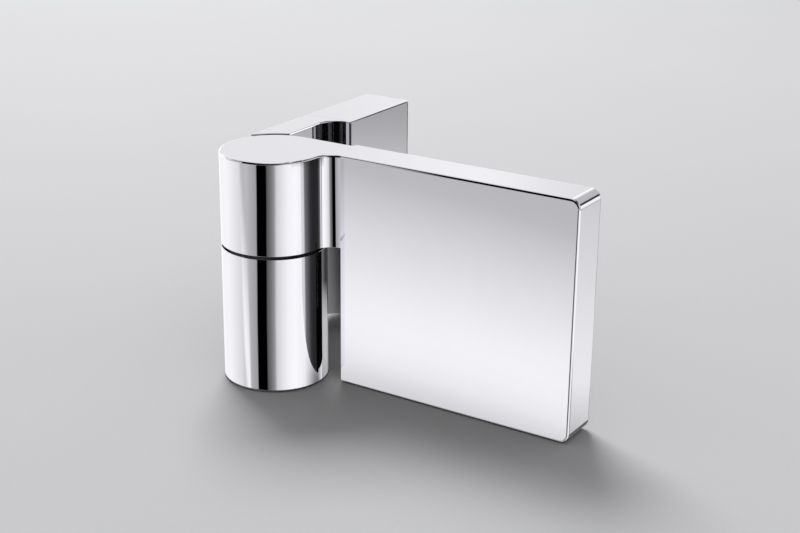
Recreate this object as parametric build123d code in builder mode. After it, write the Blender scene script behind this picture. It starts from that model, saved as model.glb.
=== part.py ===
"""Rise-and-fall shower door hinge: a wall bracket and a door leaf on one split barrel.

The barrel's axis is Z and its foot stands on Z = 0. The closed door leaf runs along +X,
with the glass on its +Y side. The wall lies beyond -X, and the wall bracket runs along
it towards +Y. The door opens clockwise seen from above, and helical cams inside the
barrel lift it as it turns, so that its own weight closes it again.
"""

import os
from math import sqrt

from build123d import *

# ------------------------------------------------------------ driving dimensions, mm
# Barrel
barrel_radius = 14.0
hinge_height = 62.5
lower_barrel_height = 36.8
barrel_top_wall = 2.5
groove_round = 0.1
edge_round = 0.6

# Door leaf
plate_thickness = 11.5
plate_reach = 86.0
plate_corner_radius = 2.5
plate_back_step = 1.5
plate_side_step = 1.5
barrel_blend_radius = 4.5

# Glass fixing in the back of the door leaf
gasket_recess = 1.0
gasket_thickness = 1.3
gasket_border = 3.0
gasket_corner_radius = 2.0
gasket_edge_clearance = 0.1
gasket_hole_clearance = 1.0
glass_screw_spacing = 36.0
glass_screw_core_radius = 2.5
glass_screw_depth = 8.5

# Wall bracket
leaf_inset = 0.4
leaf_thickness = 15.0
leaf_underside = 5.4
leaf_end_y = 64.0
neck_thickness = 8.4
neck_root_radius = 2.0
step_y = 33.4
step_land = 0.6
throat_land = 1.4
bracket_edge_round = 0.4
barrel_clearance = 1.2
base_thickness = 4.0
wall_screw_spacing = 36.0
wall_screw_radius = 2.75
wall_screw_head_radius = 5.2

# Gasket behind the wall bracket
wall_gasket_thickness = 0.8
wall_gasket_border = 1.0
wall_gasket_start_y = 8.5

# Cover over the wall screws
cover_wall = 1.4
cover_seam = 0.1
cover_clearance = 0.15
cover_corner_radius = 1.5
cover_edge_round = 0.3
cover_screw_radius = 1.25
cover_screw_length = 5.0
cover_screw_inset = 0.2
cover_screw_spacing = 14.0
cover_screw_clearance = 0.1
socket_radius = 0.75
socket_depth = 1.5

# Hinge pin, with its retaining ring and thrust washer
pin_radius = 5.0
pin_flat_distance = 4.0
pin_chamfer = 0.5
pin_foot_gap = 0.7
pin_tip_gap = 0.7
pin_tail = 1.0
pin_flats_lead = 0.5
pin_flats_lap = 2.5
circlip_thickness = 1.0
circlip_groove_depth = 0.5
circlip_rim = 1.5
circlip_lug_radius = 1.3
circlip_lug_hole_radius = 0.6
circlip_lug_angle = 20.0
circlip_split = 2.0
thrust_washer_thickness = 1.0
thrust_washer_inset = 1.0
axial_play = 0.1

# Bushes
running_clearance = 0.05
seat_clearance = 0.03
bush_radius = 7.0
bush_gap = 1.7
bush_flange = 1.5
bush_flange_clearance = 1.0
top_bush_gap = 3.0
tip_bore_clearance = 0.6
tip_bore_depth = 2.5

# Cams
cam_radius = 10.0
cam_bore_clearance = 0.3
cam_pitch = 18.0
cam_flights = 2
cam_top_inset = 0.8
cam_side_clearance = 0.3
cam_face_clearance = 0.1
cam_stop_angle = 1.0
cam_body_height = 9.0
cam_key_radius = 1.5
cam_key_length = 5.0
cam_key_room = 0.5
cam_key_recess = 1.0
ramp_overrun = 2.0

# Sliding washer between the barrels, and the plug in the foot
slide_washer_thickness = 0.5
slide_washer_inset = 1.2
slide_washer_play = 0.3
plug_height = 3.0
plug_floor = 1.2
plug_cup_radius = 6.5
ring_cord_radius = 0.7
ring_groove_width = 1.6

# ------------------------------------------------------------ worked-out places
barrel_gap = slide_washer_thickness + slide_washer_play
upper_barrel_foot = lower_barrel_height + barrel_gap
plate_back_y = barrel_radius + plate_back_step
plate_front_y = plate_back_y - plate_thickness
plate_step_x = barrel_radius + plate_side_step
blend_centre_y = plate_front_y - barrel_blend_radius
plate_start_x = sqrt((barrel_radius + barrel_blend_radius) ** 2 - blend_centre_y**2)
plate_middle_x = (plate_start_x + plate_reach) / 2
plate_middle_z = hinge_height / 2

leaf_outer_x = leaf_inset - barrel_radius
leaf_inner_x = leaf_outer_x + leaf_thickness
neck_inner_x = leaf_outer_x + neck_thickness
throat_radius = leaf_thickness - neck_thickness - throat_land
seam_y = step_y + step_land
leaf_middle_z = (leaf_underside + hinge_height) / 2
base_margin = cover_wall + cover_clearance
base_start_z = leaf_underside + base_margin
base_end_y = leaf_end_y - base_margin
base_inner_x = leaf_outer_x + base_thickness
base_middle_x = (leaf_outer_x + base_inner_x) / 2
base_middle_y = (seam_y + base_end_y) / 2

# The stack in the lower barrel, from the foot plug up
pin_foot = plug_height + pin_foot_gap
circlip_foot = pin_foot + pin_tail
circlip_top = circlip_foot + circlip_thickness
low_bush_shelf = circlip_top + thrust_washer_thickness + axial_play + bush_flange
circlip_groove_radius = pin_radius - circlip_groove_depth
bush_flange_radius = cam_radius - bush_flange_clearance
thrust_washer_radius = bush_flange_radius - thrust_washer_inset
o_ring_radius = cam_radius - seat_clearance - ring_cord_radius

# The cams, from the lower barrel's top down and up, and the bush below the lower cam
flight_angle = 360 / cam_flights
flight_rise = cam_pitch / cam_flights
stop_lift = cam_pitch * cam_stop_angle / 360
cam_ramp_foot = lower_barrel_height - cam_top_inset - flight_rise
low_cam_foot = cam_ramp_foot - cam_key_length - cam_key_room
high_bush_shelf = low_cam_foot - bush_flange
bush_length = (high_bush_shelf - low_bush_shelf - bush_gap) / 2
upper_cam_radius = cam_radius - cam_side_clearance
upper_cam_top = upper_barrel_foot + cam_body_height

# The top bush and the pin's tip, which is turned down so that the upper cam clears it
tip_bore_end = hinge_height - barrel_top_wall
top_bush_end = tip_bore_end - tip_bore_depth
top_bush_foot = upper_cam_top + top_bush_gap
pin_tip_radius = pin_flat_distance
tip_bore_radius = pin_tip_radius + tip_bore_clearance
pin_flats_start = cam_ramp_foot - pin_flats_lead
pin_flats_end = upper_cam_top + pin_flats_lap
pin_tip_end = tip_bore_end - pin_tip_gap


def corner_rectangle(x_range, y_range, mode=Mode.ADD):
    """A rectangle given by its lowest and highest corner."""
    with Locations((x_range[0], y_range[0])):
        width = x_range[1] - x_range[0]
        height = y_range[1] - y_range[0]
        Rectangle(width, height, align=Align.MIN, mode=mode)


def sharp_edges(part, least_angle=5.0):
    """The edges at which two faces of a solid meet at an angle."""
    faces = part.faces()
    found = ShapeList()
    for edge in part.edges():
        sides = [face for face in faces if any(edge.is_same(e) for e in face.edges())]
        normals = [side.normal_at(edge @ 0.5) for side in sides]
        if len(normals) == 2 and normals[0].get_angle(normals[1]) > least_angle:
            found.append(edge)
    return found


def edges_apart(edges, others):
    """The edges that aren't among the others."""
    return [edge for edge in edges if not any(edge.is_same(other) for other in others)]


os.makedirs("parts", exist_ok=True)

# The back of the door plate, seen from the glass side, with its own Y axis upright
back_face = Plane(
    origin=(plate_middle_x, plate_back_y, plate_middle_z),
    x_dir=(-1, 0, 0),
    z_dir=(0, 1, 0),
)
recess_length = plate_reach - plate_start_x - 2 * gasket_border
recess_height = hinge_height - 2 * gasket_border

# ------------------------------------------------------------ door leaf
# Upper barrel, neck and plate are one casting.
with BuildPart() as door_leaf:
    with BuildSketch(Plane.XY.offset(upper_barrel_foot)):
        Circle(barrel_radius)
        corner_rectangle((0, plate_step_x + edge_round), (plate_front_y, barrel_radius))
        corner_rectangle((plate_step_x, plate_reach), (plate_front_y, plate_back_y))
        blend_corner = (sqrt(barrel_radius**2 - plate_front_y**2), plate_front_y)
        fillet(vertices().sort_by_distance(blend_corner)[0], barrel_blend_radius)
    extrude(amount=hinge_height - upper_barrel_foot)
    with BuildSketch():
        corner_rectangle((plate_start_x, plate_reach), (plate_front_y, plate_back_y))
    extrude(amount=upper_barrel_foot)
    far_corners = door_leaf.edges().filter_by(Axis.Y).group_by(Axis.X)[-1]
    fillet(far_corners, plate_corner_radius)
    cut_face = door_leaf.faces().filter_by(Axis.X).sort_by(Axis.X)[-2]
    foot_face = door_leaf.faces().filter_by(Axis.Z).sort_by(Axis.Z)[1]
    notch_edges = cut_face.edges() + foot_face.edges()
    fillet(edges_apart(sharp_edges(door_leaf.part), notch_edges), edge_round)
    cut_face = door_leaf.faces().filter_by(Axis.X).sort_by(Axis.X)[-2]
    foot_face = door_leaf.faces().filter_by(Axis.Z).sort_by(Axis.Z)[1]
    fillet(edges_apart(foot_face.edges(), cut_face.edges()), groove_round)

    # bore for the cam, the bush and the pin's tip, blind at the top
    with BuildSketch(Plane.XY.offset(upper_barrel_foot)):
        Circle(upper_cam_radius + seat_clearance)
    extrude(amount=cam_body_height, mode=Mode.SUBTRACT)
    with BuildSketch(Plane.XY.offset(upper_cam_top)):
        Circle(bush_radius)
    extrude(amount=top_bush_end - upper_cam_top, mode=Mode.SUBTRACT)
    with BuildSketch(Plane.XY.offset(top_bush_end)):
        Circle(tip_bore_radius)
    extrude(amount=tip_bore_end - top_bush_end, mode=Mode.SUBTRACT)
    with BuildSketch(Plane.XY.offset(upper_barrel_foot)):
        with Locations((0, -upper_cam_radius)):
            Circle(cam_key_radius + seat_clearance)
    extrude(amount=cam_body_height, mode=Mode.SUBTRACT)

    # recess for the glass gasket, and the tapped holes for the glass screws
    with BuildSketch(back_face):
        RectangleRounded(recess_length, recess_height, gasket_corner_radius)
    extrude(amount=-gasket_recess, mode=Mode.SUBTRACT)
    with Locations(back_face):
        with GridLocations(0, glass_screw_spacing, 1, 2):
            Hole(glass_screw_core_radius, glass_screw_depth)
door_leaf.part.label = "door_leaf"
export_step(door_leaf.part, "parts/door_leaf.step")

with BuildPart() as glass_gasket:
    gasket_seat = back_face.offset(-gasket_recess)
    with BuildSketch(gasket_seat):
        RectangleRounded(
            recess_length - 2 * gasket_edge_clearance,
            recess_height - 2 * gasket_edge_clearance,
            gasket_corner_radius - gasket_edge_clearance,
        )
        with GridLocations(0, glass_screw_spacing, 1, 2):
            Circle(glass_screw_core_radius + gasket_hole_clearance, mode=Mode.SUBTRACT)
    extrude(amount=gasket_thickness)
glass_gasket.part.label = "glass_gasket"
export_step(glass_gasket.part, "parts/glass_gasket.step")

# ------------------------------------------------------------ wall bracket
# Lower barrel, neck and base plate are one casting.
base_face = Plane(
    origin=(base_inner_x, base_middle_y, leaf_middle_z),
    x_dir=(0, 1, 0),
    z_dir=(1, 0, 0),
)
base_foot = Plane(
    origin=(base_middle_x, base_middle_y, base_start_z),
    x_dir=(1, 0, 0),
    z_dir=(0, 0, -1),
)
cover_foot = base_foot.offset(base_margin)


def neck_outline():
    """The neck beside the barrel, with the throat that leads to the step."""
    corner_rectangle((leaf_outer_x, neck_inner_x), (0, seam_y))
    corner_rectangle((leaf_outer_x, leaf_inner_x), (step_y, seam_y))
    throat_corner = (neck_inner_x, step_y)
    fillet(vertices().sort_by_distance(throat_corner)[0], throat_radius)


with BuildPart() as wall_bracket:
    with BuildSketch():
        Circle(barrel_radius)
    extrude(amount=lower_barrel_height)
    fillet(wall_bracket.edges().filter_by(GeomType.CIRCLE).sort_by(Axis.Z)[0], bracket_edge_round)
    fillet(wall_bracket.edges().filter_by(GeomType.CIRCLE).sort_by(Axis.Z)[-1], groove_round)
    with BuildSketch(Plane.XY.offset(lower_barrel_height)):
        neck_outline()
        Circle(barrel_radius + barrel_clearance, mode=Mode.SUBTRACT)
    extrude(amount=hinge_height - lower_barrel_height)
    with BuildSketch(Plane.XY.offset(leaf_underside)):
        neck_outline()
        Circle(barrel_radius)
        root_corner = (neck_inner_x, sqrt(barrel_radius**2 - neck_inner_x**2))
        fillet(vertices().sort_by_distance(root_corner)[0], neck_root_radius)
        Circle(barrel_radius, mode=Mode.SUBTRACT)
    extrude(amount=lower_barrel_height - leaf_underside)
    leaf_edges = [
        edge
        for edge in sharp_edges(wall_bracket.part)
        if edge.bounding_box().max.Z > lower_barrel_height and (edge @ 0.5).Y < seam_y
    ]
    fillet(leaf_edges, bracket_edge_round)

    # base plate behind the cover, with its countersunk wall screw holes
    with BuildSketch(Plane.XY.offset(base_start_z)):
        corner_rectangle((leaf_outer_x, base_inner_x), (seam_y, base_end_y))
    extrude(amount=hinge_height - base_margin - base_start_z)
    with Locations(base_face):
        with GridLocations(0, wall_screw_spacing, 1, 2):
            CounterSinkHole(wall_screw_radius, wall_screw_head_radius, base_thickness)
    with Locations(base_foot):
        with GridLocations(0, cover_screw_spacing, 1, 2):
            Hole(cover_screw_radius, cover_screw_length)

    # bore for the foot plug, the bushes and the lower cam
    with BuildSketch():
        Circle(cam_radius)
    extrude(amount=low_bush_shelf, mode=Mode.SUBTRACT)
    with BuildSketch(Plane.XY.offset(low_bush_shelf)):
        Circle(bush_radius)
    extrude(amount=high_bush_shelf - low_bush_shelf, mode=Mode.SUBTRACT)
    with BuildSketch(Plane.XY.offset(high_bush_shelf)):
        Circle(cam_radius)
    extrude(amount=lower_barrel_height - high_bush_shelf, mode=Mode.SUBTRACT)
    with BuildSketch(Plane.XY.offset(low_cam_foot)):
        with Locations((0, -cam_radius)):
            Circle(cam_key_radius + seat_clearance)
    extrude(amount=lower_barrel_height - low_cam_foot, mode=Mode.SUBTRACT)
wall_bracket.part.label = "wall_bracket"
export_step(wall_bracket.part, "parts/wall_bracket.step")

with BuildPart() as wall_gasket:
    gasket_y = (wall_gasket_start_y, leaf_end_y - wall_gasket_border)
    gasket_z = (leaf_underside + wall_gasket_border, hinge_height - wall_gasket_border)
    gasket_middle = (leaf_outer_x, sum(gasket_y) / 2, leaf_middle_z)
    with BuildSketch(Plane(gasket_middle, x_dir=(0, -1, 0), z_dir=(-1, 0, 0))):
        RectangleRounded(
            gasket_y[1] - gasket_y[0], gasket_z[1] - gasket_z[0], gasket_corner_radius
        )
        with Locations((gasket_middle[1] - base_middle_y, 0)):
            with GridLocations(0, wall_screw_spacing, 1, 2):
                hole_radius = wall_screw_radius + gasket_hole_clearance
                Circle(hole_radius, mode=Mode.SUBTRACT)
    extrude(amount=wall_gasket_thickness)
wall_gasket.part.label = "wall_gasket"
export_step(wall_gasket.part, "parts/wall_gasket.step")

# ------------------------------------------------------------ cover over the wall screws
with BuildPart() as bracket_cover:
    cover_y = (seam_y + cover_seam, leaf_end_y)
    with BuildSketch(Plane.XY.offset(leaf_underside)):
        corner_rectangle((leaf_outer_x, leaf_inner_x), cover_y)
        fillet(vertices().group_by(Axis.Y)[-1], cover_corner_radius)
    extrude(amount=hinge_height - leaf_underside)
    outline = bracket_cover.faces().filter_by(Axis.Z).edges()
    fillet([edge for edge in outline if (edge @ 0.5).X > leaf_outer_x], cover_edge_round)
    with BuildSketch(Plane.XY.offset(leaf_underside + cover_wall)):
        corner_rectangle(
            (leaf_outer_x, leaf_inner_x - cover_wall), (cover_y[0], leaf_end_y - cover_wall)
        )
    extrude(amount=hinge_height - leaf_underside - 2 * cover_wall, mode=Mode.SUBTRACT)
    with Locations(cover_foot):
        with GridLocations(0, cover_screw_spacing, 1, 2):
            Hole(cover_screw_radius + cover_screw_clearance, cover_wall)
bracket_cover.part.label = "bracket_cover"
export_step(bracket_cover.part, "parts/bracket_cover.step")

with BuildPart() as cover_screws:
    with Locations(cover_foot.offset(-cover_screw_inset)):
        with GridLocations(0, cover_screw_spacing, 1, 2):
            Cylinder(
                cover_screw_radius - seat_clearance,
                cover_screw_length,
                align=(Align.CENTER, Align.CENTER, Align.MAX),
            )
    with BuildSketch(cover_foot.offset(-cover_screw_inset)):
        with GridLocations(0, cover_screw_spacing, 1, 2):
            RegularPolygon(socket_radius, 6)
    extrude(amount=-socket_depth, mode=Mode.SUBTRACT)
cover_screws.part.label = "cover_screws"
export_step(cover_screws.part, "parts/cover_screws.step")

# ------------------------------------------------------------ cams
# The solid under one helical ramp, oversize all round. It falls as the angle about +Z
# grows, from 0 to the flight's angle. Both cams take their faces from it.
ramp_inner_radius = pin_flat_distance / 2
ramp_width = cam_radius + ramp_overrun - ramp_inner_radius
ramp_depth = cam_ramp_foot + flight_rise - low_cam_foot + ramp_overrun
with BuildPart() as ramp_flight:
    low_end = Vector(1, 0, 0).rotate(Axis.Z, flight_angle)
    with BuildLine(Plane((0, 0, cam_ramp_foot), x_dir=low_end)) as ramp_line:
        Helix(cam_pitch, flight_rise, ramp_inner_radius + ramp_width / 2, lefthand=True)
    upright = Plane(ramp_line.line @ 0, x_dir=low_end, z_dir=low_end.rotate(Axis.Z, -90))
    with BuildSketch(upright):
        Rectangle(ramp_width, ramp_depth, align=(Align.CENTER, Align.MAX))
    sweep(path=ramp_line.line, is_frenet=True)
flights = [
    ramp_flight.part.moved(Location((0, 0, 0), (0, 0, flight * flight_angle)))
    for flight in range(cam_flights)
]

with BuildPart() as lower_cam:
    with BuildSketch(Plane.XY.offset(low_cam_foot)):
        Circle(cam_radius - seat_clearance)
        Circle(pin_radius + cam_bore_clearance, mode=Mode.SUBTRACT)
    extrude(amount=cam_ramp_foot + flight_rise - low_cam_foot)
    add(flights[0].fuse(*flights[1:]), mode=Mode.INTERSECT)
    with BuildSketch(Plane.XY.offset(low_cam_foot)):
        with Locations((0, -cam_radius)):
            Circle(cam_key_radius + seat_clearance)
    extrude(amount=cam_ramp_foot - low_cam_foot, mode=Mode.SUBTRACT)
lower_cam.part.label = "lower_cam"
export_step(lower_cam.part, "parts/lower_cam.step")

with BuildPart() as upper_cam:
    with BuildSketch(Plane.XY.offset(cam_ramp_foot)):
        Circle(upper_cam_radius)
    extrude(amount=upper_cam_top - cam_ramp_foot)
    with BuildSketch(Plane.XY.offset(cam_ramp_foot)):
        hole_radius = pin_radius + running_clearance
        hole_flat_distance = pin_flat_distance + running_clearance
        Circle(hole_radius)
        Rectangle(2 * hole_radius, 2 * hole_flat_distance, mode=Mode.INTERSECT)
    extrude(amount=upper_cam_top - cam_ramp_foot, mode=Mode.SUBTRACT)
    stop_turn = Location((0, 0, cam_face_clearance + stop_lift), (0, 0, -cam_stop_angle))
    add([flight.moved(stop_turn) for flight in flights], mode=Mode.SUBTRACT)
    with BuildSketch(Plane.XY.offset(upper_barrel_foot + cam_key_recess)):
        with Locations((0, -upper_cam_radius)):
            Circle(cam_key_radius + seat_clearance)
    extrude(amount=cam_body_height - cam_key_recess, mode=Mode.SUBTRACT)
upper_cam.part.label = "upper_cam"
export_step(upper_cam.part, "parts/upper_cam.step")

# A round key stops each cam from turning in its barrel.
cam_keys = {
    "lower_cam_key": (low_cam_foot, cam_radius),
    "upper_cam_key": (upper_cam_top - cam_key_length, upper_cam_radius),
}
for name, (key_foot, seat_radius) in cam_keys.items():
    with BuildPart() as cam_key:
        with BuildSketch(Plane.XY.offset(key_foot)):
            with Locations((0, -seat_radius)):
                Circle(cam_key_radius)
        extrude(amount=cam_key_length)
    cam_key.part.label = name
    export_step(cam_key.part, f"parts/{name}.step")

# ------------------------------------------------------------ hinge pin
with BuildPart() as hinge_pin:
    with BuildSketch(Plane.XY.offset(pin_foot)):
        Circle(pin_radius)
    extrude(amount=pin_flats_start - pin_foot)
    with BuildSketch(Plane.XY.offset(pin_flats_start)):
        Circle(pin_radius)
        Rectangle(2 * pin_radius, 2 * pin_flat_distance, mode=Mode.INTERSECT)
    extrude(amount=pin_flats_end - pin_flats_start)
    with BuildSketch(Plane.XY.offset(pin_flats_end)):
        Circle(pin_tip_radius)
    extrude(amount=pin_tip_end - pin_flats_end)
    rims = hinge_pin.edges().filter_by(GeomType.CIRCLE)
    chamfer([rims.sort_by(Axis.Z)[0], rims.sort_by(Axis.Z)[-1]], pin_chamfer)
    with BuildSketch(Plane.XY.offset(circlip_foot)):
        Circle(pin_radius)
        Circle(circlip_groove_radius, mode=Mode.SUBTRACT)
    extrude(amount=circlip_thickness, mode=Mode.SUBTRACT)
hinge_pin.part.label = "hinge_pin"
export_step(hinge_pin.part, "parts/hinge_pin.step")

with BuildPart() as pin_circlip:
    circlip_radius = circlip_groove_radius + circlip_rim
    first_lug = Vector(circlip_radius, 0).rotate(Axis.Z, circlip_lug_angle)
    lugs = [(first_lug.X, first_lug.Y), (first_lug.X, -first_lug.Y)]
    with BuildSketch(Plane.XY.offset(circlip_foot)):
        Circle(circlip_radius)
        with Locations(lugs):
            Circle(circlip_lug_radius)
        Circle(circlip_groove_radius + seat_clearance, mode=Mode.SUBTRACT)
        with Locations(lugs):
            Circle(circlip_lug_hole_radius, mode=Mode.SUBTRACT)
        split_y = (-circlip_split / 2, circlip_split / 2)
        corner_rectangle((0, 2 * circlip_radius), split_y, mode=Mode.SUBTRACT)
    extrude(amount=circlip_thickness)
pin_circlip.part.label = "pin_circlip"
export_step(pin_circlip.part, "parts/pin_circlip.step")

with BuildPart() as thrust_washer:
    with BuildSketch(Plane.XY.offset(circlip_top)):
        Circle(thrust_washer_radius)
        Circle(pin_radius + running_clearance, mode=Mode.SUBTRACT)
    extrude(amount=thrust_washer_thickness)
thrust_washer.part.label = "thrust_washer"
export_step(thrust_washer.part, "parts/thrust_washer.step")

# ------------------------------------------------------------ bushes
# Two plain bushes carry the pin. Each has a flange on its shelf, and its body enters the
# bore between the shelves: upwards from the low shelf, downwards from the high one.
for name, shelf_z, direction in (
    ("foot_bush", low_bush_shelf, 1),
    ("middle_bush", high_bush_shelf, -1),
):
    with BuildPart() as bush:
        with BuildSketch(Plane.XY.offset(shelf_z)):
            Circle(bush_flange_radius)
        extrude(amount=-direction * bush_flange)
        with BuildSketch(Plane.XY.offset(shelf_z)):
            Circle(bush_radius - seat_clearance)
        extrude(amount=direction * bush_length)
        with BuildSketch(Plane.XY.offset(shelf_z - direction * bush_flange)):
            Circle(pin_radius + running_clearance)
        extrude(amount=direction * (bush_flange + bush_length), mode=Mode.SUBTRACT)
    bush.part.label = name
    export_step(bush.part, f"parts/{name}.step")

with BuildPart() as top_bush:
    with BuildSketch(Plane.XY.offset(top_bush_foot)):
        Circle(bush_radius - seat_clearance)
        Circle(pin_tip_radius + running_clearance, mode=Mode.SUBTRACT)
    extrude(amount=top_bush_end - top_bush_foot)
top_bush.part.label = "top_bush"
export_step(top_bush.part, "parts/top_bush.step")

# ------------------------------------------------------------ sliding washer and foot plug
with BuildPart() as slide_washer:
    with BuildSketch(Plane.XY.offset(lower_barrel_height)):
        Circle(barrel_radius - slide_washer_inset)
        Circle(cam_radius, mode=Mode.SUBTRACT)
    extrude(amount=slide_washer_thickness)
slide_washer.part.label = "slide_washer"
export_step(slide_washer.part, "parts/slide_washer.step")

with BuildPart() as foot_plug:
    with BuildSketch():
        Circle(cam_radius - seat_clearance)
    extrude(amount=plug_height)
    with BuildSketch(Plane.XY.offset(plug_floor)):
        Circle(plug_cup_radius)
    extrude(amount=plug_height - plug_floor, mode=Mode.SUBTRACT)
    with BuildSketch(Plane.XY.offset((plug_height - ring_groove_width) / 2)):
        Circle(cam_radius)
        Circle(o_ring_radius - ring_cord_radius - seat_clearance, mode=Mode.SUBTRACT)
    extrude(amount=ring_groove_width, mode=Mode.SUBTRACT)
foot_plug.part.label = "foot_plug"
export_step(foot_plug.part, "parts/foot_plug.step")

with BuildPart() as plug_o_ring:
    with BuildSketch(Plane.XZ):
        with Locations((o_ring_radius, plug_height / 2)):
            Circle(ring_cord_radius)
    revolve(axis=Axis.Z)
plug_o_ring.part.label = "plug_o_ring"
export_step(plug_o_ring.part, "parts/plug_o_ring.step")
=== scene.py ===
"""Looks for a rise-and-fall shower door hinge in mirror-polished chrome.

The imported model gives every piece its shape. This script gives the pieces their finishes
and builds the studio: a pale floor, soft lamps, and bright and dark panels that only
mirroring surfaces see. Lengths are in metres and angles in degrees, unless a comment says
otherwise.
"""

import math

import bpy
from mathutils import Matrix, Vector


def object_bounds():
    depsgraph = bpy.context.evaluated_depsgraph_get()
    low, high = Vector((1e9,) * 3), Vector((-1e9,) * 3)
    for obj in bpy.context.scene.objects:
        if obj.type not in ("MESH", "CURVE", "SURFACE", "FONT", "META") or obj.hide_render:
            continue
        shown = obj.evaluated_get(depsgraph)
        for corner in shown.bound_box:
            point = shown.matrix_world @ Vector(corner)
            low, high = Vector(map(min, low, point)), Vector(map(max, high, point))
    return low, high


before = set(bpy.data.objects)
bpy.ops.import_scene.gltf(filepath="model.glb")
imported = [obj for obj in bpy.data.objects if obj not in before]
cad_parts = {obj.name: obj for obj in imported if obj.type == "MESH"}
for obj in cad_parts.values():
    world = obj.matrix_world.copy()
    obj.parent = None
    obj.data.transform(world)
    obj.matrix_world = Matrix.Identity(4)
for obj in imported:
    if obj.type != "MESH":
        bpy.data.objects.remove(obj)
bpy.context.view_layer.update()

hinge_low, hinge_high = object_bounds()

MM = 0.001

# ------------------------------------------------------------ camera
CAMERA_PLACE = Vector((233.47, -304.23, 168.35)) * MM
CAMERA_DIP = 19.862          # below the horizon
CAMERA_HEADING = 34.323      # from +Y towards -X
CAMERA_LENS = 68.979         # millimetres, on a sensor 36 wide
CAMERA_SHIFT = 0.05625       # share of the image's width
CAMERA_NEAR = 0.01           # nothing nearer than this is drawn

# ------------------------------------------------------------ what the chrome sees
# Levels are display greys, as polished chrome shows them: 0 is black, 255 is white, and a
# lamp may outshine white. Azimuths run from +X towards +Y, and elevations are above the
# horizon.
CHROME_COLOUR = (0.862, 0.853, 0.896)
CHROME_LEVEL = 0.858         # the share of the light that it returns, taken as a grey
# The panels in front of the hinge, by azimuth, at the heights that the barrel mirrors
FRONT_PANELS = (
    (-180, 247), (-163, 240), (-148, 230), (-133, 218), (-128, 210), (-118, 190), (-108, 174),
    (-98, 162), (-93.4, 158), (-91.5, 1), (-71.5, 1), (-70.3, 78), (-68, 92), (-64, 106),
    (-61, 118), (-58, 131), (-55.5, 144), (-53.3, 162), (-51, 194), (-49.5, 205), (-46, 213),
    (-42, 220), (-33, 233), (-23, 244), (-8, 249), (2, 243),
)
# The same further up and down, where only flat faces mirror them
SOFT_PANELS = ((-180, 247), (-120, 200), (-98, 155), (-82, 80), (-62, 145), (-42, 215), (2, 243))
FRONT_RISE = ((-30, 0), (-25.5, 1), (-15.4, 1), (-13, 0))
# How far the panels in front are turned, by elevation, once FRONT_TURN is taken off: their
# edges lean
FRONT_TURN = 1.9
FRONT_LEAN = ((-24, 0), (-21.8, 0.9), (-19.9, 2.8), (-18.6, 3.7), (-17.3, 5.2), (-16, 5.8))
# The panels on the +X side, by azimuth, and those low down there
SIDE_SPAN = ((2, 0), (10, 1), (142, 1), (150, 0))
SIDE_PANELS = (
    (12, 245), (50, 250), (60, 200), (67, 120), (92, 36), (107, 103), (125, 200), (140, 248),
)
LOW_SIDE_PANELS = (
    (12, 235), (22, 193), (37, 116), (46, 75), (60, 70), (74, 92), (112, 104), (140, 248),
)
LOW_SPAN = ((-24.2, 1), (-22.4, 0))
# The bright strip that edges the lower barrel
STRIP_LEVEL = 186
STRIP_SPAN = ((54, 0), (57, 1), (104, 1), (110, 0))
STRIP_RISE = ((-24.2, 0), (-23.8, 1), (-21.4, 1), (-20.6, 0))
# The dark opening above these panels, which the wall bracket's throat mirrors
DARK_LEVEL = 5
THROAT_SPAN = ((-16, 0), (-11, 1), (50, 1), (51, 0))
THROAT_RISE = ((-16, 0), (-15.6, 1))
# The large panel that the door plate mirrors, by elevation, tilted along its width
PLATE_PANEL = (
    (-30, 185), (-25.2, 196), (-24, 211), (-23.4, 230), (-22.8, 240), (-21.8, 243),
    (-20.9, 240), (-19.6, 229), (-18.2, 215), (-17.0, 200), (-16, 184), (-9, 187),
)
PLATE_PANEL_SPAN = ((-131, 0), (-125.3, 1), (-115.2, 1), (-110, 0))
PLATE_PANEL_MIDDLE = -124.7
PLATE_PANEL_TILT = 0.25
# The panel that the plate's end and the wall bracket mirror, by elevation. Low down it
# starts further round.
END_PANEL = (
    (-30, 170), (-26, 178), (-25.1, 209), (-23.8, 232), (-22.4, 228), (-21, 222),
    (-19.6, 215), (-17.4, 205), (-16.4, 193), (-15.4, 182), (-14.2, 163), (-13, 165), (-10, 235),
)
END_PANEL_START = ((-19, 12), (-17.6, 0))
END_PANEL_SPAN = ((50, 0), (51.5, 1), (180, 1))
END_PANEL_STOP = ((66.3, 1), (68, 0))
# The panels behind the hinge: a bright rim, and what the top faces mirror, by azimuth
REAR_PANELS = ((95, 200), (112, 215), (116, 222), (119, 238), (121, 236), (125, 227), (140, 222))
REAR_RISE = ((10, 0), (12, 1), (20, 1), (22, 0))
REAR_SPAN = ((-180, 1), (-160, 0), (95, 0), (103, 1), (180, 1))
REAR_RIM = ((-12, 255), (24, 252), (34, 215), (80, 225))
# The ceiling in front of the hinge, with its dark ring, and beyond the plate's far corner
CEILING = ((-9, 187), (30, 185), (37, 130), (50, 90), (58, 5), (63, 5), (70, 150), (80, 220))
CORNER_PANELS = (
    (-9, 238), (-4, 247), (1, 245), (4, 200), (6, 60), (9, 12), (12.5, 25), (15, 150),
    (18, 186), (30, 176), (37, 150), (50, 90), (54, 8), (66, 5), (72, 150), (80, 215),
)
CORNER_SPAN = ((56, 0), (59, 1), (68, 1), (74, 0))
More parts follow.
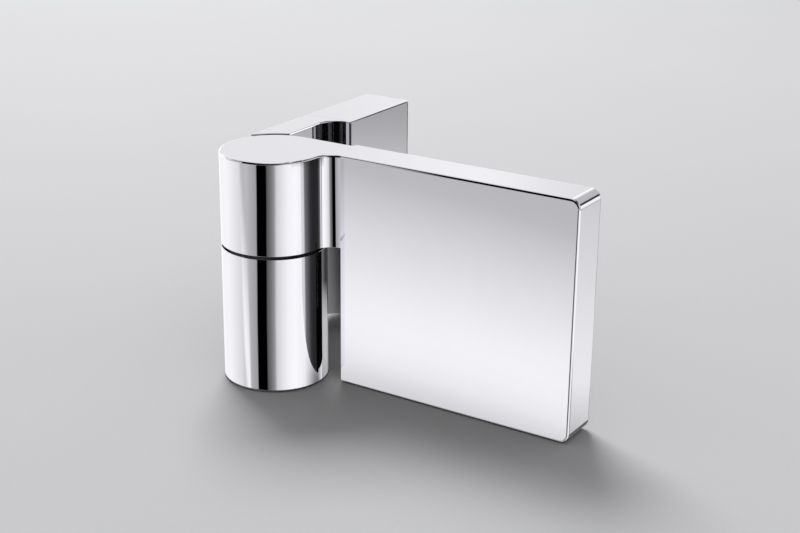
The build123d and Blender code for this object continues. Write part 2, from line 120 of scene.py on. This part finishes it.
# A dark flag in front of the plate, whose edge leans back as it rises, and a bright and a
# dark one over the wall bracket
FLAG_SPAN = ((-121.6, 0), (-120, 1), (-40, 1), (-25, 0))
FLAG_RISE = ((-10, 0), (-7, 1), (60, 1), (68, 0))
FLAG_LEAN = ((0, 0), (10, 0.5), (20, 1.8), (26, 3.7), (37, 9), (47, 19), (53, 40))
BRIGHT_LEVEL = 270
BRIGHT_SPAN = ((46, 0), (49.5, 1), (51.9, 1), (52.6, 0))
GAP_SPAN = ((52, 0), (52.7, 1), (56.5, 1), (57.5, 0))
GAP_RISE = ((-11.5, 0), (-9, 1), (30, 1), (36, 0))
GAP_LEAN = ((-10, 1.1), (0, 0), (10, 1.1), (18, 3.9), (25.6, 9), (32, 16.6), (35, 24))
# Where the panels below the horizon give way to those above it
HORIZON_SPAN = ((-12, 0), (-9, 1))
# What the chrome shows after mirroring itself once, and more often, by azimuth
TWICE_PANELS = (
    (-180, 190), (-140, 215), (-76, 205), (-62, 90), (-52, 36), (-38, 44), (-31, 55),
    (-26, 85), (-17, 120), (-14, 215), (-6, 225), (-4, 18), (12, 15), (20, 50), (30, 95),
    (44, 110), (50, 50), (94, 42), (104, 60), (110, 5), (135, 5), (155, 120), (180, 190),
)
TWICE_THROAT_SPAN = ((-45, 0), (-40, 1), (78, 1), (84, 0))
TWICE_PLATE_SPAN = ((-136, 0), (-130, 1), (-78, 1), (-70, 0))
OFTEN_PANELS = (
    (-180, 60), (-150, 215), (-90, 215), (-70, 40), (10, 20), (30, 30), (40, 60), (47, 12),
    (54.6, 12), (55.1, 320), (55.7, 320), (56.3, 8), (90, 8), (120, 30), (180, 60),
)
# A ray's count of bounces is past these once it was mirrored twice, mirrored more often, or
# thrown by a matt surface
MIRRORED_TWICE = 1.5
MIRRORED_OFTEN = 2.5
THROWN = 0.5

# ------------------------------------------------------------ what everything else sees
WORLD_LEVEL = 0.42
BACKDROP_COLOUR = (0.53, 0.53, 0.545, 1)
FLOOR_COLOUR = (0.50, 0.50, 0.515)
FLOOR_TONES = (0.94, 1.04)   # the floor's darkest and lightest places
FLOOR_GRAIN = 0.06           # shares of fine grain and of broad clouds in its mottle
FLOOR_CLOUD = 0.05
FLOOR_SPAN = 8.0
FLOOR_DROP = 0.45 * MM
# Soft square lamps: name, place, width, and power in watts
LAMPS = (
    ("key", (-0.55, 0.55, 1.2), 0.6, 20.0),
    ("fill", (0.9, -0.9, 1.0), 1.2, 3.0),
)


def linear(level):
    """The linear value of a display grey, where 255 is white."""
    share = level / 255
    return share / 12.92 if share <= 0.04045 else ((share + 0.055) / 1.055) ** 2.4


# ------------------------------------------------------------ node helpers
class Nodes:
    """A node tree with short calls for adding, linking and setting nodes."""

    def __init__(self, owner):
        owner.use_nodes = True
        self.tree = owner.node_tree
        self.tree.nodes.clear()

    def add(self, kind, **settings):
        node = self.tree.nodes.new(kind)
        for name, value in settings.items():
            setattr(node, name, value)
        return node

    def link(self, source, target):
        self.tree.links.new(source, target)

    def feed(self, node, inputs):
        for name, value in inputs.items():
            if isinstance(value, bpy.types.NodeSocket):
                self.link(value, node.inputs[name])
            else:
                node.inputs[name].default_value = value

    def math(self, operation, *values):
        node = self.add("ShaderNodeMath", operation=operation)
        self.feed(node, dict(enumerate(values)))
        return node.outputs[0]

    def clamp(self, value):
        return self.math("MINIMUM", self.math("MAXIMUM", value, 0.0), 1.0)

    def axes(self, vector):
        """The vector's X, Y and Z."""
        node = self.add("ShaderNodeSeparateXYZ")
        self.link(vector, node.inputs[0])
        return node.outputs

    def noise(self, where, scale, detail=2.0, roughness=0.5):
        node = self.add("ShaderNodeTexNoise")
        self.feed(node, {"Vector": where, "Scale": scale, "Detail": detail, "Roughness": roughness})
        return node.outputs["Fac"]

    def ramp(self, value, stops):
        """A colour ramp whose stops are (position, grey or colour)."""
        node = self.add("ShaderNodeValToRGB")
        elements = node.color_ramp.elements
        while len(elements) > 1:
            elements.remove(elements[-1])
        for index, (position, colour) in enumerate(stops):
            element = elements[0] if index == 0 else elements.new(position)
            element.position = position
            is_grey = isinstance(colour, (int, float))
            element.color = (colour, colour, colour, 1) if is_grey else (*colour, 1)
        self.link(value, node.inputs["Fac"])
        return node.outputs["Color"]

    def span(self, value, low, high, stops, convert=float):
        """A ramp over low to high, with its stops in the same unit as value."""
        share = self.math("DIVIDE", self.math("SUBTRACT", value, low), high - low)
        placed = [((at - low) / (high - low), convert(level)) for at, level in stops]
        return self.ramp(share, placed)

    def mix(self, factor, first, second):
        node = self.add("ShaderNodeMix", data_type="RGBA")
        self.feed(node, {0: factor, 6: first, 7: second})
        return node.outputs[2]


def grey(value):
    return (value, value, value, 1)


def panel_level(level):
    """The radiance of a panel that chrome shows as this display grey."""
    return linear(level) / CHROME_LEVEL


DARK = grey(panel_level(DARK_LEVEL))


# ------------------------------------------------------------ studio
class Sky(Nodes):
    """The world's nodes, with ramps by the direction that a ray takes."""

    def __init__(self, world):
        super().__init__(world)
        axes = self.axes(self.add("ShaderNodeTexCoord").outputs["Generated"])
        self.azimuth = self.math("DEGREES", self.math("ARCTAN2", axes["Y"], axes["X"]))
        self.elevation = self.math("DEGREES", self.math("ARCSINE", axes["Z"]))

    def around(self, stops, convert=float, turn=None):
        """A ramp by azimuth, turned as a whole by this many degrees."""
        azimuth = self.azimuth if turn is None else self.math("SUBTRACT", self.azimuth, turn)
        return self.span(azimuth, -180, 180, stops, convert)

    def upwards(self, stops, convert=float):
        """A ramp by elevation."""
        return self.span(self.elevation, -90, 90, stops, convert)

    def area(self, span, rise, turn=None):
        """1 where a ramp by azimuth and a ramp by elevation are both 1."""
        return self.math("MULTIPLY", self.around(span, turn=turn), self.upwards(rise))


def panels_below(sky):
    """The panels below the horizon: in front, on the +X side, and those of flat faces."""
    lean = sky.math("SUBTRACT", sky.upwards(FRONT_LEAN), FRONT_TURN)
    front = sky.around(FRONT_PANELS, panel_level, turn=lean)
    front = sky.mix(sky.upwards(FRONT_RISE), sky.around(SOFT_PANELS, panel_level), front)
    side = sky.mix(
        sky.upwards(LOW_SPAN),
        sky.around(SIDE_PANELS, panel_level),
        sky.around(LOW_SIDE_PANELS, panel_level),
    )
    panels = sky.mix(sky.around(SIDE_SPAN), front, side)
    strip = grey(panel_level(STRIP_LEVEL))
    panels = sky.mix(sky.area(STRIP_SPAN, STRIP_RISE), panels, strip)

    off_middle = sky.math("SUBTRACT", sky.azimuth, PLATE_PANEL_MIDDLE)
    tilted = sky.math("MULTIPLY_ADD", off_middle, PLATE_PANEL_TILT, sky.elevation)
    plate_panel = sky.span(tilted, -90, 90, PLATE_PANEL, panel_level)
    panels = sky.mix(sky.around(PLATE_PANEL_SPAN), panels, plate_panel)

    after_start = sky.around(END_PANEL_SPAN, turn=sky.upwards(END_PANEL_START))
    in_end_panel = sky.math("MULTIPLY", after_start, sky.around(END_PANEL_STOP))
    panels = sky.mix(in_end_panel, panels, sky.upwards(END_PANEL, panel_level))
    return sky.mix(sky.area(THROAT_SPAN, THROAT_RISE), panels, DARK)


def panels_above(sky):
    """The ceiling with its flags, and the panels behind the hinge."""
    backwards = sky.math("MULTIPLY", sky.upwards(FLAG_LEAN), -1.0)
    in_flag = sky.area(FLAG_SPAN, FLAG_RISE, turn=backwards)
    ceiling = sky.mix(in_flag, sky.upwards(CEILING, panel_level), DARK)
    ceiling = sky.mix(sky.around(CORNER_SPAN), ceiling, sky.upwards(CORNER_PANELS, panel_level))

    gap_lean = sky.upwards(GAP_LEAN)
    in_bright = sky.area(BRIGHT_SPAN, GAP_RISE, turn=gap_lean)
    ceiling = sky.mix(in_bright, ceiling, grey(panel_level(BRIGHT_LEVEL)))
    in_gap = sky.area(GAP_SPAN, GAP_RISE, turn=gap_lean)
    ceiling = sky.mix(in_gap, ceiling, DARK)
    rear = sky.mix(
        sky.upwards(REAR_RISE),
        sky.upwards(REAR_RIM, panel_level),
        sky.around(REAR_PANELS, panel_level),
    )
    return sky.mix(sky.around(REAR_SPAN), ceiling, rear)


def panels_by_bounces(sky, once, path):
    """The panels by how often a ray was mirrored. Rays from matt surfaces see none."""
    twice = sky.mix(
        sky.around(TWICE_PLATE_SPAN),
        sky.around(TWICE_PANELS, panel_level),
        sky.upwards(PLATE_PANEL, panel_level),
    )
    twice = sky.mix(sky.area(TWICE_THROAT_SPAN, THROAT_RISE), twice, DARK)
    often = sky.around(OFTEN_PANELS, panel_level)
    panels = once
    for count, limit, later in (
        ("Glossy Depth", MIRRORED_TWICE, twice),
        ("Glossy Depth", MIRRORED_OFTEN, often),
        ("Diffuse Depth", THROWN, grey(0)),
    ):
        panels = sky.mix(sky.math("GREATER_THAN", path[count], limit), panels, later)
    return panels


def make_world():
    """Plain even light for everything, and the panels for what mirrors them."""
    world = bpy.data.worlds.new("studio")
    bpy.context.scene.world = world
    sky = Sky(world)
    panels = sky.mix(sky.upwards(HORIZON_SPAN), panels_below(sky), panels_above(sky))
    path = sky.add("ShaderNodeLightPath").outputs
    panels = panels_by_bounces(sky, panels, path)
    backdrop = sky.mix(path["Is Camera Ray"], grey(WORLD_LEVEL), BACKDROP_COLOUR)
    seen = sky.mix(path["Is Glossy Ray"], backdrop, panels)
    background = sky.add("ShaderNodeBackground")
    sky.link(seen, background.inputs["Color"])
    sky.link(background.outputs[0], sky.add("ShaderNodeOutputWorld").inputs["Surface"])


def make_floor():
    """A wide pale floor just under the hinge. Mirroring surfaces see the panels instead."""
    half = FLOOR_SPAN / 2
    mesh = bpy.data.meshes.new("floor")
    corners = [(-half, -half, 0), (half, -half, 0), (half, half, 0), (-half, half, 0)]
    mesh.from_pydata(corners, [], [(0, 1, 2, 3)])
    floor = bpy.data.objects.new("floor", mesh)
    floor.location.z = hinge_low.z - FLOOR_DROP
    bpy.context.scene.collection.objects.link(floor)
    floor.visible_glossy = False
    mesh.materials.append(finish_material("pale_floor", matt_floor))


def make_lamp(name, place, size, power):
    """A soft square lamp that points at the hinge's middle and isn't mirrored itself."""
    light = bpy.data.lights.new(name, "AREA")
    light.size = size
    light.energy = power
    lamp = bpy.data.objects.new(name, light)
    bpy.context.scene.collection.objects.link(lamp)
    lamp.location = place
    towards = (hinge_low + hinge_high) / 2 - lamp.location
    lamp.rotation_euler = towards.to_track_quat("-Z", "Y").to_euler()
    lamp.visible_glossy = False


def make_camera():
    data = bpy.data.cameras.new("camera")
    data.lens = CAMERA_LENS
    data.shift_x = CAMERA_SHIFT
    data.clip_start = CAMERA_NEAR
    camera = bpy.data.objects.new("camera", data)
    bpy.context.scene.collection.objects.link(camera)
    camera.location = CAMERA_PLACE
    camera.rotation_euler = (math.radians(90 - CAMERA_DIP), 0, math.radians(CAMERA_HEADING))
    bpy.context.scene.camera = camera


# ------------------------------------------------------------ finishes
def finish_material(name, build):
    """A material whose shader inputs and bump come from build(nodes, place)."""
    material = bpy.data.materials.new(name)
    nodes = Nodes(material)
    place = nodes.add("ShaderNodeTexCoord").outputs["Object"]
    shader = nodes.add("ShaderNodeBsdfPrincipled")
    nodes.feed(shader, build(nodes, place))
    nodes.link(shader.outputs[0], nodes.add("ShaderNodeOutputMaterial").inputs["Surface"])
    return material


def bump(nodes, height, depth, strength=1.0):
    node = nodes.add("ShaderNodeBump")
    nodes.feed(node, {"Height": height, "Distance": depth, "Strength": strength})
    return node.outputs["Normal"]


# How deep the skins of the pieces are
FINE_SKIN = 0.01 * MM
COARSE_SKIN = 0.04 * MM
# Chrome where wiping has hazed it, as a share of its colour
HAZED = 0.985
# Chrome in the wall bracket's throat under the door leaf is rougher, and darkened in colour as
# painted shade in the recess. Each limit has its axis, its place in mm, and the side of it that is
# the throat.
THROAT_LIMITS = (("X", 2.0, -1), ("Y", 26.0, 1), ("Y", 34.5, -1), ("Z", 37.0, -1))
THROAT_PAINTED_SHADE = (0.38, 0.375, 0.39, 1)
DULL_ROUGHNESS = 0.6
DULL_FADE = 1.0 * MM
# Chrome at the foot's rim, darkened in colour as painted shade: the contact line where the foot
# meets the floor
RIM_PAINTED_SHADE = (0.02, 0.02, 0.022, 1)
RIM_HEIGHT = 0.45 * MM
RIM_FADE = 0.15 * MM


def in_throat_below(nodes, place):
    """1 in the wall bracket's throat below the door leaf's barrel, else 0."""
    axes = nodes.axes(place)
    inside = 1.0
    for axis, limit, side in THROAT_LIMITS:
        beyond = nodes.math("SUBTRACT", axes[axis], limit * MM)
        share = nodes.clamp(nodes.math("DIVIDE", beyond, side * DULL_FADE))
        inside = nodes.math("MULTIPLY", inside, share)
    return inside


def at_foot_rim(nodes, place):
    """1 at the foot's lowest edge, else 0."""
    below = nodes.math("SUBTRACT", RIM_HEIGHT, nodes.axes(place)["Z"])
    return nodes.clamp(nodes.math("DIVIDE", below, RIM_FADE))


def polished_chrome(nodes, place):
    """Mirror chrome, faintly hazed by wiping, rougher in the throat, with painted shade darkening
    the throat and the foot's rim.
    """
    haze = nodes.noise(place, scale=60.0, detail=4.0)
    hazed_colour = tuple(channel * HAZED for channel in CHROME_COLOUR)
    dull_and_shaded = in_throat_below(nodes, place)
    plating = nodes.ramp(haze, ((0.3, hazed_colour), (0.7, CHROME_COLOUR)))
    # painted shade: the throat's chrome colour is darkened as the recess's shade
    plating = nodes.mix(dull_and_shaded, plating, THROAT_PAINTED_SHADE)
    polish = nodes.ramp(haze, ((0.35, 0.018), (0.75, 0.035)))
    return {
        # painted shade: the foot's lowest rim is darkened in colour for the contact line under it
        "Base Color": nodes.mix(at_foot_rim(nodes, place), plating, RIM_PAINTED_SHADE),
        "Metallic": 1.0,
        "Roughness": nodes.mix(dull_and_shaded, polish, grey(DULL_ROUGHNESS)),
    }


def stainless_steel(nodes, place):
    """Turned steel: fine rings across the part's axis."""
    height = nodes.axes(place)["Z"]
    stretched = nodes.add("ShaderNodeCombineXYZ")
    nodes.feed(stretched, {"Z": nodes.math("MULTIPLY", height, 30.0)})
    rings = nodes.noise(stretched.outputs[0], scale=400.0, detail=3.0)
    dark, pale = (0.54, 0.54, 0.55), (0.66, 0.66, 0.67)
    return {
        "Base Color": nodes.ramp(rings, ((0.3, dark), (0.7, pale))),
        "Metallic": 1.0,
        "Roughness": nodes.ramp(rings, ((0.3, 0.22), (0.7, 0.36))),
        "Normal": bump(nodes, rings, FINE_SKIN),
    }


def spring_steel(nodes, place):
    """Blackened spring steel with paler rubbed patches."""
    patches = nodes.noise(place, scale=350.0, detail=4.0)
    black, rubbed = (0.12, 0.12, 0.13), (0.22, 0.22, 0.23)
    return {
        "Base Color": nodes.ramp(patches, ((0.35, black), (0.75, rubbed))),
        "Metallic": 1.0,
        "Roughness": nodes.ramp(patches, ((0.3, 0.55), (0.7, 0.38))),
        "Normal": bump(nodes, patches, FINE_SKIN),
    }


def moulded(dark, light):
    """Moulded acetal: a slight mottle and a satin, finely grained skin."""
    def build(nodes, place):
        mottle = nodes.noise(place, scale=120.0, detail=3.0)
        grain = nodes.noise(place, scale=2500.0)
        return {
            "Base Color": nodes.ramp(mottle, ((0.3, dark), (0.7, light))),
            "Roughness": nodes.ramp(mottle, ((0.3, 0.38), (0.7, 0.5))),
            "Normal": bump(nodes, grain, FINE_SKIN, strength=0.6),
        }
    return build


def gasket_rubber(nodes, place):
    """Black sheet rubber with a talc bloom and a coarse skin."""
    bloom = nodes.noise(place, scale=90.0, detail=5.0)
    grain = nodes.noise(place, scale=1800.0, detail=3.0)
    black, talc = (0.05, 0.05, 0.054), (0.085, 0.085, 0.09)
    return {
        "Base Color": nodes.ramp(bloom, ((0.35, black), (0.75, talc))),
        "Roughness": nodes.ramp(grain, ((0.3, 0.7), (0.7, 0.9))),
        "Normal": bump(nodes, grain, COARSE_SKIN),
    }


def matt_floor(nodes, place):
    """Pale matt paint with a fine grain and faint clouds."""
    grain = nodes.noise(place, scale=900.0, detail=3.0)
    cloud = nodes.math("MULTIPLY", nodes.noise(place, scale=9.0), FLOOR_CLOUD)
    mottle = nodes.math("MULTIPLY_ADD", grain, FLOOR_GRAIN, cloud)
    dark, light = (tuple(channel * tone for channel in FLOOR_COLOUR) for tone in FLOOR_TONES)
    return {
        "Base Color": nodes.ramp(mottle, ((0, dark), (FLOOR_GRAIN + FLOOR_CLOUD, light))),
        "Roughness": 0.9,
    }


FINISHES = {
    "polished_chrome": polished_chrome,
    "stainless_steel": stainless_steel,
    "spring_steel": spring_steel,
    "bush_polymer": moulded((0.82, 0.81, 0.76), (0.88, 0.87, 0.82)),
    "cam_polymer": moulded((0.045, 0.045, 0.05), (0.06, 0.06, 0.065)),
    "gasket_rubber": gasket_rubber,
}


def dress_nodes():
    """Gives each CAD node the finish of the material slot that it was packed with."""
    finishes = {slot: finish_material(slot, build) for slot, build in FINISHES.items()}
    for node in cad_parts.values():
        for material_slot in node.material_slots:
            packed = material_slot.material.name.split(".")[0]
            material_slot.material = finishes[packed]


make_world()
make_floor()
for lamp_settings in LAMPS:
    make_lamp(*lamp_settings)
make_camera()
dress_nodes()
bpy.context.scene.view_settings.view_transform = "Standard"
